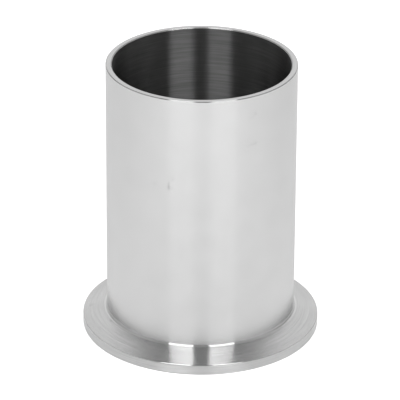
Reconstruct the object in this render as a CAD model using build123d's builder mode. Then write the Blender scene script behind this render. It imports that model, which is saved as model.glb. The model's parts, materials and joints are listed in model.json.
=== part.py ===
"""Long weld-end sanitary clamp ferrule, nominal 2 inch, turned in one piece from stainless steel.

A thin straight tube ends in a clamp flange. The back of the flange is a 20 degree slope, which a
hinged clamp rides up to pull two ferrules together. Its face carries a half-round groove for the
bead of the gasket, and a seat set back inside the groove for the gasket's web. The other end of the
tube is faced square, to be butt-welded to a pipe.

The clamp face lies on Z = 0 with the tube's axis on +Z, so the ferrule stands on its flange.
Lengths are in millimetres and angles in degrees.
"""

import os
from math import radians, sqrt, tan

from build123d import *

# Tube
tube_diameter = 50.8  # outside, 2 inch tube
wall_thickness = 1.65  # 16 gauge
overall_length = 76.2  # clamp face to weld end, 3 inch

# Clamp flange
flange_reach = 6.55  # how far the rim stands out from the tube, all round
rim_thickness = 2.85  # clamp face to the foot of the clamping slope, measured at the rim
slope_angle = 20.0  # clamping slope, from the plane of the clamp face

# Gasket seat
outer_land = 1.45  # flat ring between the rim and the groove, the proud part of the clamp face
groove_radius = 2.35  # half-round groove, struck from the plane of the clamp face
seat_offset = 0.8  # ring between the groove and the bore, set back from the clamp face

# Edges
root_radius = 0.8  # where the clamping slope runs into the tube
rim_radius = 0.25  # both corners of the rim
groove_edge_radius = 0.15  # both lips of the groove
bore_edge_radius = 0.15  # mouth of the bore in the gasket seat
weld_chamfer_outside = 0.2
weld_chamfer_inside = 0.25

# What follows from those sizes
tube_radius = tube_diameter / 2
bore_radius = tube_radius - wall_thickness
flange_radius = tube_radius + flange_reach
slope_top = rim_thickness + flange_reach * tan(radians(slope_angle))
groove_pitch_radius = flange_radius - outer_land - groove_radius
groove_half_width_at_seat = sqrt(groove_radius**2 - seat_offset**2)
groove_lip_radius = groove_pitch_radius + groove_radius
seat_edge_radius = groove_pitch_radius - groove_half_width_at_seat

with BuildPart() as ferrule:
    # Half of the turned section: X is the distance from the axis and Y the height
    with BuildSketch(Plane.XZ) as section:
        with BuildLine():
            Polyline(
                (bore_radius, seat_offset),
                (bore_radius, overall_length),
                (tube_radius, overall_length),
                (tube_radius, slope_top),
                (flange_radius, rim_thickness),
                (flange_radius, 0),
                (groove_pitch_radius, 0),
                (groove_pitch_radius, seat_offset),
                close=True,
            )
        make_face()

        # The groove takes away the step between the seat and the outer land
        with Locations((groove_pitch_radius, 0)):
            Circle(groove_radius, mode=Mode.SUBTRACT)

        def corner(distance, height):
            """The section's corner nearest to a distance from the axis and a height."""
            return section.vertices().sort_by_distance((distance, height))[0]

        chamfer(corner(tube_radius, overall_length), weld_chamfer_outside)
        chamfer(corner(bore_radius, overall_length), weld_chamfer_inside)
        fillet(corner(tube_radius, slope_top), root_radius)
        fillet(corner(flange_radius, rim_thickness), rim_radius)
        fillet(corner(flange_radius, 0), rim_radius)
        fillet(corner(groove_lip_radius, 0), groove_edge_radius)
        fillet(corner(seat_edge_radius, seat_offset), groove_edge_radius)
        fillet(corner(bore_radius, seat_offset), bore_edge_radius)
    revolve(axis=Axis.Z)

ferrule.part.label = "ferrule"

os.makedirs("parts", exist_ok=True)
export_step(ferrule.part, "parts/ferrule.step")

print("bore diameter", round(2 * bore_radius, 2))
print("flange diameter", round(2 * flange_radius, 2))
print("groove pitch diameter", round(2 * groove_pitch_radius, 2))
print("top of the clamping slope", round(slope_top, 3))
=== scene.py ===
"""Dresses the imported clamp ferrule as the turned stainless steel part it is, on a pale studio floor.

The ferrule is one turned piece, so one lathed mesh stands for it. Its tube, bore and flange radii come
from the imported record, and the small forms of its section are named below. Lengths are in metres.
"""

import json
import math
from collections import namedtuple
import bpy
import numpy as np
from mathutils import Matrix, Vector


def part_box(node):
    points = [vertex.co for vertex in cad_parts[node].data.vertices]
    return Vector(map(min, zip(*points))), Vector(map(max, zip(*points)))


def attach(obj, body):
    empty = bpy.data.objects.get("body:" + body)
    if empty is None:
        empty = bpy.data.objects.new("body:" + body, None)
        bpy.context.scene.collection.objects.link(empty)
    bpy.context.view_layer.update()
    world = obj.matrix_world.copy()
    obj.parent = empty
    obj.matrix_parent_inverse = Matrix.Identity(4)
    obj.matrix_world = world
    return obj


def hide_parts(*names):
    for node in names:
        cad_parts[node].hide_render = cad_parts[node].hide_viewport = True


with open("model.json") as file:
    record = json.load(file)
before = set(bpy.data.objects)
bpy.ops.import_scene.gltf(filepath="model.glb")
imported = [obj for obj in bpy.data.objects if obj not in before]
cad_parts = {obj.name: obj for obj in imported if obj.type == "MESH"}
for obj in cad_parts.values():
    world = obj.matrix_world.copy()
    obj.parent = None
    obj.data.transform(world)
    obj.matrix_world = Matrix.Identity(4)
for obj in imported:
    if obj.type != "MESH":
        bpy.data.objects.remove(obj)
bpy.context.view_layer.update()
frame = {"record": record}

MM = 0.001

# The section's main sizes, from the frame
MOUNTS = {mount["name"]: mount["dims"] for mount in frame["record"]["mounts"]}
BORE_RADIUS = MOUNTS["bore"]["r_mm"] * MM
TUBE_RADIUS = MOUNTS["tube_outside"]["r_mm"] * MM
FLANGE_RADIUS = MOUNTS["clamp_rim"]["r_mm"] * MM
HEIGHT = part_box("ferrule")[1].z

# The section's small forms, as the part has them
RIM_THICKNESS = 2.85 * MM
SLOPE = math.radians(20)
OUTER_LAND = 1.45 * MM
GROOVE_RADIUS = 2.35 * MM
SEAT_OFFSET = 0.8 * MM
ROOT_RADIUS = 0.8 * MM
RIM_RADIUS = 0.25 * MM
LIP_RADIUS = 0.15 * MM
WELD_CHAMFER_OUTSIDE = 0.2 * MM
WELD_CHAMFER_INSIDE = 0.25 * MM
TOOL_DIP = math.radians(15)  # how far the tool's nose swung past the root, which left a fine ring there

# The mesh
TURNS = 400  # segments round the axis
ARC_STEP = math.radians(7)  # along the section's rounds
LEAST_ARC_STEPS = 3
RING_GAP = 1.6 * MM  # along its straight stretches
FULL_TURN = 2 * math.pi

# The camera
CAMERA_BACK = 816.4 * MM
CAMERA_HEIGHT = 430.2 * MM
CAMERA_PITCH = math.radians(25.77)
CAMERA_YAW = math.radians(-0.019)
CAMERA_ROLL = math.radians(0.322)
SENSOR = 36.0
LENS = 303.8
CAMERA_REACH = 20.0

# Turned steel, zone by zone. Roughness blurs what it mirrors, mostly across the tool's path. The tilt of
# the grooves that the tool's feed left stretches it further that way. Lines, a line_pitch apart, lighten
# and darken the steel by up to this share, and so does cloud, which is the handling.
# Brightness is the steel's colour, set zone by zone. The bore's is far below the rest: that is painted
# shade, standing for the dark inside of the enclosed hollow.
Finish = namedtuple("Finish", "brightness roughness groove_tilt line_pitch lines cloud")
FINISHES = {
    "tube": Finish(0.73, 0.215, 0.0, 0.50 * MM, 0.02, 0.04),
    # The bore's low brightness is painted shade: the same steel, darkened for its enclosed inside.
    "bore": Finish(0.23, 0.298, 0.359, 0.40 * MM, 0.27, 0.08),
    "face": Finish(0.56, 0.158, 0.0, 0.30 * MM, 0.08, 0.04),
    "slope": Finish(0.59, 0.190, 0.143, 0.25 * MM, 0.15, 0.04),
    "rim": Finish(0.70, 0.306, 0.127, 0.30 * MM, 0.15, 0.04),
    "edge": Finish(0.66, 0.121, 0.206, 0.30 * MM, 0.08, 0.04),
    "chamfer": Finish(0.54, 0.231, 0.170, 0.30 * MM, 0.08, 0.04),
}
GROOVE_PITCH = 0.12 * MM
GROOVE_EDGE = 0.95  # how steep a groove's side gets at its edge, where 1 is upright
ACROSS_THE_GROOVES = 0.25  # of a turn, from the way round the axis to the way that the blur stretches
LINE_FADES = 12  # how often a line changes in a turn
LINE_DETAIL = 1.0
ROUGHNESS_SWAY = 0.07  # the share by which the lines change the roughness
CLOUD_SIZE = 6 * MM
CLOUD_DETAIL = 2.0
FRONT = 0.75  # the share of a turn, from +X, where the part faces the camera

# Nicks and scuffs: where round the part, in degrees from the front, how far past the start of the finish,
# how wide round the part and how long across it, in mm, how far it leans, in degrees, and the share by
# which it darkens the steel
Mark = namedtuple("Mark", "azimuth past width length lean depth")
MARKS = {
    "tube": (
        Mark(-19.4, 24.4, 0.45, 1.9, 0, 0.20),
        Mark(-19.0, 24.9, 1.3, 0.8, 0, 0.08),
        Mark(-28.5, 24.4, 0.9, 0.6, 0, 0.08),
        Mark(-17.0, 22.3, 0.9, 0.7, 0, 0.06),
        Mark(-15.2, 25.6, 0.5, 0.5, 0, 0.05),
        Mark(33.3, 4.9, 0.8, 0.7, 0, 0.09),
        Mark(31.6, 4.4, 1.5, 0.4, 10, 0.05),
        Mark(30.8, 5.8, 1.2, 0.5, -10, 0.07),
        Mark(22.7, 9.0, 0.4, 1.3, 0, 0.04),
        Mark(33.6, 13.3, 0.7, 0.9, 0, 0.08),
        Mark(31.0, 13.4, 2.4, 0.7, -10, 0.05),
        Mark(27.8, 15.0, 0.8, 0.4, 0, 0.05),
        Mark(33.3, 15.1, 0.6, 0.5, 0, 0.04),
        Mark(-58.1, 12.9, 1.8, 1.4, 0, 0.03),
        Mark(-63.6, 46.6, 0.7, 2.2, 20, 0.05),
        Mark(-58.3, 47.4, 0.3, 0.9, 0, 0.06),
        Mark(-75.2, 59.9, 0.5, 0.6, 0, 0.08),
        Mark(8.3, 39.9, 0.9, 0.4, 0, 0.06),
        Mark(4.9, 40.3, 0.8, 0.5, 0, 0.03),
        Mark(7.7, 41.0, 1.6, 0.4, 10, 0.03),
        Mark(2.1, 41.5, 1.0, 0.5, 0, 0.03),
        Mark(-4.8, 40.5, 0.7, 1.2, 0, 0.03),
    ),
    "slope": (
        Mark(-92.0, 3.9, 0.9, 1.0, 0, 0.12),
        Mark(-64.7, 4.0, 0.7, 0.6, 0, 0.08),
        Mark(-74.5, 4.0, 0.6, 0.6, 0, 0.05),
        Mark(-66.2, 0.0, 0.9, 0.7, 0, 0.30),
    ),
}

# The floor. It glows by one amount to the camera and by another in the metal, but not under the flange.
FLOOR_SIZE = 4.0
FLOOR_COLOUR = 0.778
FLOOR_GLOW = 0.75
FLOOR_MIRRORED = 0.245
FLOOR_SHADE_EDGE = 2 * MM  # how wide the edge of the dark disc under the flange is

# The light from all round. LOW and HIGH are elevations in degrees, STRIP_PLACES are back over across, and
# the other bounds are parts of a unit direction.
ROOM = 0.162
BACKDROP = 0.707
BACKDROP_LOW = 54.7
BACKDROP_HIGH = 81.2
BACKDROP_FRONT = -0.165
BACKDROP_BACK = 0.653
BACKDROP_INNER = 0.375
BACKDROP_OUTER = 0.719
SIDE = 0.153
SIDE_INNER = 0.415
SIDE_OUTER = 0.976
CEILING = 0.19
CEILING_LOW = 9.84
CEILING_HIGH = 41
STRIP = 0.172
STRIP_PLACES = (-0.09, 0.33)
STRIP_WIDTH = 0.12

# The softboxes: their side of the middle, how much light they give, and then their place and shape in parts
# of their height, from back to front and from the inner to the outer edge
SOFTBOX_HEIGHT = 0.60
SOFTBOX_EDGE = 0.01
Softbox = namedtuple("Softbox", "side light back front inner_back inner_front outer_back outer_front")
SOFTBOXES = {
    "left_softbox": Softbox(-1, 2.99, -0.405, -1.96, 0.102, 0.251, 0.502, 1.44),
    "right_softbox": Softbox(1, 2.95, -0.433, -2.06, 0.148, 0.348, 0.57, 1.74),
}


# ---------------------------------------------------------------- section of the ferrule


def straight(start, end):
    """Points and normals of a straight stretch, with the metal on its right."""
    start, end = np.array(start), np.array(end)
    length = np.linalg.norm(end - start)
    count = max(1, math.ceil(length / RING_GAP))
    along = (end - start) / length
    normal = (-along[1], along[0])
    return [(*(start + (end - start) * i / count), *normal) for i in range(count + 1)]


def arc(centre, radius, first, last, hollow=False):
    """Points and normals of a round, between two angles in radians. A hollow one curves into the metal."""
    count = max(LEAST_ARC_STEPS, math.ceil(abs(last - first) / ARC_STEP))
    side = -1 if hollow else 1
    points = []
    for i in range(count + 1):
        angle = first + (last - first) * i / count
        c, s = math.cos(angle), math.sin(angle)
        points.append((centre[0] + radius * c, centre[1] + radius * s, side * c, side * s))
    return points


def section():
    """The ferrule's half section as (finish, points) stretches, each point with its outward normal.

    It runs clockwise from the mouth of the bore: up the bore, over the weld end, down the tube and the
    clamping slope, round the rim, and in across the clamp face.
    """
    quarter = math.pi / 2
    slope_rise = 1 / math.cos(SLOPE) - math.tan(SLOPE)
    slope_top = RIM_THICKNESS + (FLANGE_RADIUS - TUBE_RADIUS) * math.tan(SLOPE)

    # Centres of the rounds
    mouth = (BORE_RADIUS + LIP_RADIUS, SEAT_OFFSET + LIP_RADIUS)
    root = (TUBE_RADIUS + ROOT_RADIUS, slope_top + ROOT_RADIUS * slope_rise)
    rim_top = (FLANGE_RADIUS - RIM_RADIUS, RIM_THICKNESS - RIM_RADIUS * slope_rise)
    rim_foot = (FLANGE_RADIUS - RIM_RADIUS, RIM_RADIUS)
    groove = (FLANGE_RADIUS - OUTER_LAND - GROOVE_RADIUS, 0.0)
    lip_reach = GROOVE_RADIUS + LIP_RADIUS
    outer_dip = math.asin(LIP_RADIUS / lip_reach)
    inner_dip = math.asin((SEAT_OFFSET + LIP_RADIUS) / lip_reach)
    outer_lip = (groove[0] + lip_reach * math.cos(outer_dip), LIP_RADIUS)
    inner_lip = (groove[0] - lip_reach * math.cos(inner_dip), SEAT_OFFSET + LIP_RADIUS)

    # Corners of the weld end
    bore_top = (BORE_RADIUS, HEIGHT - WELD_CHAMFER_INSIDE)
    land_inside = (BORE_RADIUS + WELD_CHAMFER_INSIDE, HEIGHT)
    land_outside = (TUBE_RADIUS - WELD_CHAMFER_OUTSIDE, HEIGHT)
    tube_top = (TUBE_RADIUS, HEIGHT - WELD_CHAMFER_OUTSIDE)

    mouth_round = arc(mouth, LIP_RADIUS, 3 * quarter, 2 * quarter)
    root_round = arc(root, ROOT_RADIUS, 2 * quarter, 3 * quarter - SLOPE + TOOL_DIP, hollow=True)
    rim_top_round = arc(rim_top, RIM_RADIUS, quarter - SLOPE, 0)
    rim_foot_round = arc(rim_foot, RIM_RADIUS, 0, -quarter)
    outer_lip_round = arc(outer_lip, LIP_RADIUS, -quarter, outer_dip - 2 * quarter)
    groove_round = arc(groove, GROOVE_RADIUS, outer_dip, 2 * quarter - inner_dip, hollow=True)
    inner_lip_round = arc(inner_lip, LIP_RADIUS, -inner_dip, -quarter)

    # The dip past the root comes back up to the slope, which starts a little further out
    dip_width = 2 * ROOT_RADIUS * math.tan(TOOL_DIP / 2)
    slope_start = (
        root[0] - ROOT_RADIUS * math.sin(SLOPE) + dip_width * math.cos(SLOPE),
        root[1] - ROOT_RADIUS * math.cos(SLOPE) - dip_width * math.sin(SLOPE),
    )

    return [
        ("edge", mouth_round),
        ("bore", straight(mouth_round[-1][:2], bore_top)),
        ("chamfer", straight(bore_top, land_inside)),
        ("face", straight(land_inside, land_outside)),
        ("chamfer", straight(land_outside, tube_top)),
        ("tube", straight(tube_top, root_round[0][:2])),
        ("edge", root_round),
        ("edge", straight(root_round[-1][:2], slope_start)),
        ("slope", straight(slope_start, rim_top_round[0][:2])),
        ("edge", rim_top_round),
        ("rim", straight(rim_top_round[-1][:2], rim_foot_round[0][:2])),
        ("edge", rim_foot_round),
        ("face", straight(rim_foot_round[-1][:2], outer_lip_round[0][:2])),
        ("edge", outer_lip_round),
        ("face", groove_round),
        ("edge", inner_lip_round),
        ("face", straight(inner_lip_round[-1][:2], mouth_round[0][:2])),
    ]


def run_length(points):
    """The length of the line through these points."""
    return sum(math.dist(a[:2], b[:2]) for a, b in zip(points, points[1:]))


STRETCHES = section()
SECTION_LENGTH = sum(run_length(points) for _, points in STRETCHES)


def bands_of(stretches):
    """The mesh's bands as (material slot, first point, last point). Each starts a ring of vertices."""
    slots = list(FINISHES)
    return [
        (slots.index(finish), start, end)
        for finish, points in stretches
        for start, end in zip(points, points[1:])
    ]


def new_piece(name, vertices, faces, slots, normals, uvs):
    """A smooth mesh object with these faces, material slots, corner normals and map."""
    mesh = bpy.data.meshes.new(name)
    mesh.from_pydata(vertices.reshape(-1, 3).tolist(), [], faces)
    mesh.polygons.foreach_set("material_index", slots)
    mesh.polygons.foreach_set("use_smooth", [True] * len(faces))
    uv_map = mesh.uv_layers.new(name="OFBake")
    uv_map.data.foreach_set("uv", np.array(uvs).ravel())
    mesh.normals_split_custom_set(normals)
    mesh.update()
    piece = bpy.data.objects.new(name, mesh)
    bpy.context.scene.collection.objects.link(piece)
    return piece


def lathe(name, stretches):
    """Turns the section round Z into a closed mesh, with a map of turns by length along the section."""
    angles = np.arange(TURNS) * FULL_TURN / TURNS
    cosines, sines = np.cos(angles), np.sin(angles)
    bands = bands_of(stretches)

    vertices = np.zeros((len(bands), TURNS, 3))
    for ring, (_, (r, z, _, _), _) in zip(vertices, bands):
        ring[:] = np.stack([r * cosines, r * sines, np.full(TURNS, z)], axis=1)

    faces, slots, normals, uvs = [], [], [], []
    v_low = 0.0
    for low, (slot, start, end) in enumerate(bands):
        high = (low + 1) % len(bands)
        v_high = v_low + math.dist(start[:2], end[:2]) / SECTION_LENGTH
        for j in range(TURNS):
            k = (j + 1) % TURNS
            faces.append((low * TURNS + j, high * TURNS + j, high * TURNS + k, low * TURNS + k))
            slots.append(slot)
            for (_, _, out, up), side in ((start, j), (end, j), (end, k), (start, k)):
                normals.append((out * cosines[side], out * sines[side], up))
            u_low, u_high = j / TURNS, (j + 1) / TURNS
            uvs += [(u_low, v_low), (u_low, v_high), (u_high, v_high), (u_high, v_low)]
        v_low = v_high
    return new_piece(name, vertices, faces, slots, normals, uvs)


# ---------------------------------------------------------------- shader nodes


def add(tree, kind, inputs=(), **settings):
    """Adds a node with these settings. Its inputs are given by name, as numbers or as outputs to link."""
    node = tree.nodes.new(kind)
    for name, value in settings.items():
        setattr(node, name, value)
    for name, value in dict(inputs).items():
        if isinstance(value, bpy.types.NodeSocket):
            tree.links.new(value, node.inputs[name])
        else:
            node.inputs[name].default_value = value
    return node


def math_node(tree, operation, *values, **settings):
    """The result of a Math node, from numbers or outputs."""
    node = add(tree, "ShaderNodeMath", enumerate(values), operation=operation, **settings)
    return node.outputs[0]


def vector_node(tree, operation, *values):
    """The result of a Vector Math node that gives a vector."""
    return add(tree, "ShaderNodeVectorMath", enumerate(values), operation=operation).outputs[0]


def ramp(tree, value, start, end, low=0.0, high=1.0):
    """Goes from low to high as the value goes from start to end, and stays there."""
    inputs = {"Value": value, "From Min": start, "From Max": end, "To Min": low, "To Max": high}
    return add(tree, "ShaderNodeMapRange", inputs).outputs[0]


# ---------------------------------------------------------------- steel


def tool_lines(tree, turn, along, pitch):
    """Lines round the axis, this far apart, that fade in and out along their length."""
    place = add(tree, "ShaderNodeCombineXYZ", {
        "X": math_node(tree, "MULTIPLY", turn, LINE_FADES),
        "Y": math_node(tree, "MULTIPLY", along, SECTION_LENGTH / pitch),
    })
    inputs = {"Vector": place.outputs[0], "Scale": 1.0, "Detail": LINE_DETAIL}
    return add(tree, "ShaderNodeTexNoise", inputs, noise_dimensions="2D").outputs[0]


def start_of(finish_name):
    """The radius where a finish first starts, and how far along the section that is."""
    past = 0.0
    for name, points in STRETCHES:
        if name == finish_name:
            return points[0][0], past
        past += run_length(points)


def scuffs(tree, turn, along, finish_name):
    """How dark the marks on this finish are, from 0 where there are none."""
    radius, start = start_of(finish_name)
    place = add(tree, "ShaderNodeCombineXYZ", {
        "X": math_node(tree, "MULTIPLY", turn, FULL_TURN * radius),
        "Y": math_node(tree, "MULTIPLY", along, SECTION_LENGTH),
    })
    dark = 0.0
    for mark in MARKS[finish_name]:
        mapping = add(tree, "ShaderNodeMapping", {
            "Vector": place.outputs[0],
            "Location": ((FRONT + mark.azimuth / 360) * FULL_TURN * radius, start + mark.past * MM, 0),
            "Rotation": (0, 0, math.radians(mark.lean)),
            "Scale": (mark.width * MM, mark.length * MM, 1),
        }, vector_type="TEXTURE")
        spot = add(tree, "ShaderNodeTexGradient", {0: mapping.outputs[0]}, gradient_type="SPHERICAL")
        dark = math_node(tree, "MULTIPLY_ADD", spot.outputs["Fac"], mark.depth, dark)
    return dark


def grooved_normal(tree, along, tangent, tilt):
    """The normal in the grooves of the tool's feed, each of them a shallow round."""
    grooves = math_node(tree, "MULTIPLY", along, SECTION_LENGTH / GROOVE_PITCH)
    place = math_node(tree, "FRACT", grooves)
    side = math_node(tree, "MULTIPLY_ADD", place, 2 * GROOVE_EDGE, -GROOVE_EDGE)
    squared = math_node(tree, "MULTIPLY", side, side)
    rest = math_node(tree, "SQRT", math_node(tree, "SUBTRACT", 1.0, squared))
    slope = math_node(tree, "MULTIPLY", math_node(tree, "DIVIDE", side, rest), tilt)
    normal = add(tree, "ShaderNodeNewGeometry").outputs["Normal"]
    across = vector_node(tree, "CROSS_PRODUCT", normal, tangent)
    shift = add(tree, "ShaderNodeVectorMath", {0: across, "Scale": slope}, operation="SCALE").outputs[0]
    return vector_node(tree, "NORMALIZE", vector_node(tree, "ADD", normal, shift))


def tint_of(tree, coordinates, turn, along, lines, finish_name):
    """How much lighter or darker the steel gets from its lines, its handling and its marks."""
    finish = FINISHES[finish_name]
    inputs = {"Vector": coordinates.outputs["Object"], "Scale": 1 / CLOUD_SIZE, "Detail": CLOUD_DETAIL}
    cloud = add(tree, "ShaderNodeTexNoise", inputs).outputs[0]
    lined = ramp(tree, lines, 0, 1, 1 - finish.lines, 1 + finish.lines)
    handled = ramp(tree, cloud, 0, 1, 1 - finish.cloud, 1 + finish.cloud)
    tint = math_node(tree, "MULTIPLY", lined, handled)
    if finish_name in MARKS:
        clean = math_node(tree, "SUBTRACT", 1.0, scuffs(tree, turn, along, finish_name))
        tint = math_node(tree, "MULTIPLY", tint, clean)
    return tint


def steel(finish_name):
    """Turned stainless steel: fine tool lines round the axis, which smear what it mirrors across them."""
    finish = FINISHES[finish_name]
    material = bpy.data.materials.new("steel_" + finish_name)
    material.use_nodes = True
    tree = material.node_tree
    link = tree.links.new
    shader = tree.nodes["Principled BSDF"]
    shader.inputs["Metallic"].default_value = 1.0
    shader.inputs["Anisotropic"].default_value = 1.0
    shader.inputs["Anisotropic Rotation"].default_value = ACROSS_THE_GROOVES

    coordinates = add(tree, "ShaderNodeTexCoord")
    split = add(tree, "ShaderNodeSeparateXYZ", {0: coordinates.outputs["UV"]})
    turn, along = split.outputs[0], split.outputs[1]
    lines = tool_lines(tree, turn, along, finish.line_pitch)

    # The base colour is the zone's brightness, which in the bore is painted shade, times its lines,
    # handling and marks.
    base = add(tree, "ShaderNodeMix", {
        "Factor": 1.0,
        "A": (finish.brightness, finish.brightness, finish.brightness, 1),
        "B": tint_of(tree, coordinates, turn, along, lines, finish_name),
    }, data_type="RGBA", blend_type="MULTIPLY")
    link(base.outputs["Result"], shader.inputs["Base Color"])

    smoothest = finish.roughness * (1 - ROUGHNESS_SWAY)
    roughest = finish.roughness * (1 + ROUGHNESS_SWAY)
    link(ramp(tree, lines, 0, 1, smoothest, roughest), shader.inputs["Roughness"])

    tangent = add(tree, "ShaderNodeTangent", direction_type="RADIAL", axis="Z").outputs[0]
    link(tangent, shader.inputs["Tangent"])
    if finish.groove_tilt:
        link(grooved_normal(tree, along, tangent, finish.groove_tilt), shader.inputs["Normal"])
    return material


MATERIALS = {name: steel(name) for name in FINISHES}

ferrule = lathe("ferrule_turned", STRETCHES)
for material in MATERIALS.values():
    ferrule.data.materials.append(material)
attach(ferrule, "root")
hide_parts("ferrule")


# ---------------------------------------------------------------- studio


def make_floor():
    """A pale paper floor. Its own glow makes it white to the camera and shows in the metal."""
    mesh = bpy.data.meshes.new("floor")
    reach = FLOOR_SIZE
    corners = [(-reach, -reach, 0), (reach, -reach, 0), (reach, reach, 0), (-reach, reach, 0)]
    mesh.from_pydata(corners, [], [(0, 1, 2, 3)])
    floor = bpy.data.objects.new("floor", mesh)
    bpy.context.scene.collection.objects.link(floor)

    material = bpy.data.materials.new("floor_paper")
    material.use_nodes = True
    tree = material.node_tree
    shader = tree.nodes["Principled BSDF"]
    shader.inputs["Base Color"].default_value = (FLOOR_COLOUR, FLOOR_COLOUR, FLOOR_COLOUR, 1)
    shader.inputs["Roughness"].default_value = 1.0
    shader.inputs["Specular IOR Level"].default_value = 0.0

    rays = add(tree, "ShaderNodeLightPath")
    seen = math_node(tree, "MULTIPLY", rays.outputs["Is Camera Ray"], FLOOR_GLOW)
    mirrored = math_node(tree, "MULTIPLY", rays.outputs["Is Glossy Ray"], FLOOR_MIRRORED)
    place = add(tree, "ShaderNodeNewGeometry").outputs["Position"]
    distance = add(tree, "ShaderNodeVectorMath", {0: place}, operation="LENGTH").outputs["Value"]
    outside = ramp(tree, distance, FLANGE_RADIUS - FLOOR_SHADE_EDGE, FLANGE_RADIUS)
    strength = math_node(tree, "MULTIPLY", math_node(tree, "ADD", seen, mirrored), outside)
    glow = add(tree, "ShaderNodeEmission", {"Strength": strength})
    both = add(tree, "ShaderNodeAddShader", {0: shader.outputs[0], 1: glow.outputs[0]})
    tree.links.new(both.outputs[0], tree.nodes["Material Output"].inputs["Surface"])
    mesh.materials.append(material)


def rise(elevation):
    """How far up a unit direction points, from its elevation in degrees."""
    return math.sin(math.radians(elevation))


def make_world():
    """A dim room with a pale backdrop, pale sides, faint upright strips there and a soft ceiling.

    To the camera it is plain white.
    """
    world = bpy.data.worlds.new("studio")
    bpy.context.scene.world = world
    world.use_nodes = True
    tree = world.node_tree
    place = add(tree, "ShaderNodeTexCoord")
    split = add(tree, "ShaderNodeSeparateXYZ", {0: place.outputs["Generated"]})
    across = math_node(tree, "ABSOLUTE", split.outputs[0])
    back, up = split.outputs[1], split.outputs[2]

    behind = ramp(tree, back, BACKDROP_FRONT, BACKDROP_BACK)
    behind = math_node(tree, "MULTIPLY", behind, ramp(tree, across, BACKDROP_INNER, BACKDROP_OUTER, 1, 0))
    low = ramp(tree, up, rise(BACKDROP_LOW), rise(BACKDROP_HIGH), BACKDROP, 0)
    sides = ramp(tree, across, SIDE_INNER, SIDE_OUTER, 0, SIDE)
    ceiling = ramp(tree, up, rise(CEILING_LOW), rise(CEILING_HIGH), ROOM, ROOM + CEILING)
    light = math_node(tree, "MULTIPLY_ADD", low, behind, ceiling)
    light = math_node(tree, "ADD", light, sides)
    for strip_place in STRIP_PLACES:
        offset = math_node(tree, "SUBTRACT", math_node(tree, "DIVIDE", back, across), strip_place)
        strip = ramp(tree, math_node(tree, "ABSOLUTE", offset), 0, STRIP_WIDTH, STRIP, 0)
        light = math_node(tree, "MULTIPLY_ADD", strip, up, light)

    rays = add(tree, "ShaderNodeLightPath")
    inputs = {"Factor": rays.outputs["Is Camera Ray"], "A": light, "B": 1.0}
    white = add(tree, "ShaderNodeMix", inputs, data_type="FLOAT")
    tree.links.new(white.outputs[0], tree.nodes["Background"].inputs["Color"])


def make_softbox(name, box):
    """A flat lamp above and in front, on one side of the middle. It is wider at the front."""
    width = (box.outer_front - box.inner_back) * SOFTBOX_HEIGHT
    depth = (box.back - box.front) * SOFTBOX_HEIGHT
    light = bpy.data.lights.new(name, "AREA")
    light.shape = "RECTANGLE"
    light.size = width
    light.size_y = depth
    light.energy = box.light * math.pi * width * depth
    lamp = bpy.data.objects.new(name, light)
    middle = box.side * (box.inner_back + box.outer_front) / 2
    lamp.location = Vector((middle, (box.front + box.back) / 2, 1)) * SOFTBOX_HEIGHT
    lamp.visible_camera = False
    bpy.context.scene.collection.objects.link(lamp)

    # Its face is masked to a shape with slanted sides
    light.use_nodes = True
    tree = light.node_tree
    place = add(tree, "ShaderNodeNewGeometry").outputs["Position"]
    split = add(tree, "ShaderNodeSeparateXYZ", {0: place})
    across = math_node(tree, "MULTIPLY", split.outputs[0], box.side / SOFTBOX_HEIGHT)
    forward = ramp(tree, split.outputs[1], box.back * SOFTBOX_HEIGHT, box.front * SOFTBOX_HEIGHT)
    inner = math_node(tree, "MULTIPLY_ADD", forward, box.inner_front - box.inner_back, box.inner_back)
    outer = math_node(tree, "MULTIPLY_ADD", forward, box.outer_front - box.outer_back, box.outer_back)
    past_inner = ramp(tree, math_node(tree, "SUBTRACT", across, inner), 0, SOFTBOX_EDGE)
    inside_outer = ramp(tree, math_node(tree, "SUBTRACT", outer, across), 0, SOFTBOX_EDGE)
    strength = math_node(tree, "MULTIPLY", past_inner, inside_outer)
    tree.links.new(strength, tree.nodes["Emission"].inputs["Strength"])


def make_camera():
    """The camera stands in front and above, turned by its pitch, yaw and roll."""
    data = bpy.data.cameras.new("camera")
    data.sensor_width = SENSOR
    data.lens = LENS
    data.clip_end = CAMERA_REACH
    camera = bpy.data.objects.new("camera", data)
    bpy.context.scene.collection.objects.link(camera)
    forward = Vector((
        math.sin(CAMERA_YAW) * math.cos(CAMERA_PITCH),
        math.cos(CAMERA_YAW) * math.cos(CAMERA_PITCH),
        -math.sin(CAMERA_PITCH),
    ))
    right = forward.cross(Vector((0, 0, 1))).normalized()
    up = right.cross(forward)
    rolled_right = math.cos(CAMERA_ROLL) * right + math.sin(CAMERA_ROLL) * up
    rolled_up = math.cos(CAMERA_ROLL) * up - math.sin(CAMERA_ROLL) * right
    turn = Matrix((rolled_right, rolled_up, -forward)).transposed().to_4x4()
    camera.matrix_world = Matrix.Translation((0, -CAMERA_BACK, CAMERA_HEIGHT)) @ turn
    bpy.context.scene.camera = camera


make_floor()
make_world()
for name, box in SOFTBOXES.items():
    make_softbox(name, box)
make_camera()
bpy.context.scene.view_settings.view_transform = "Standard"
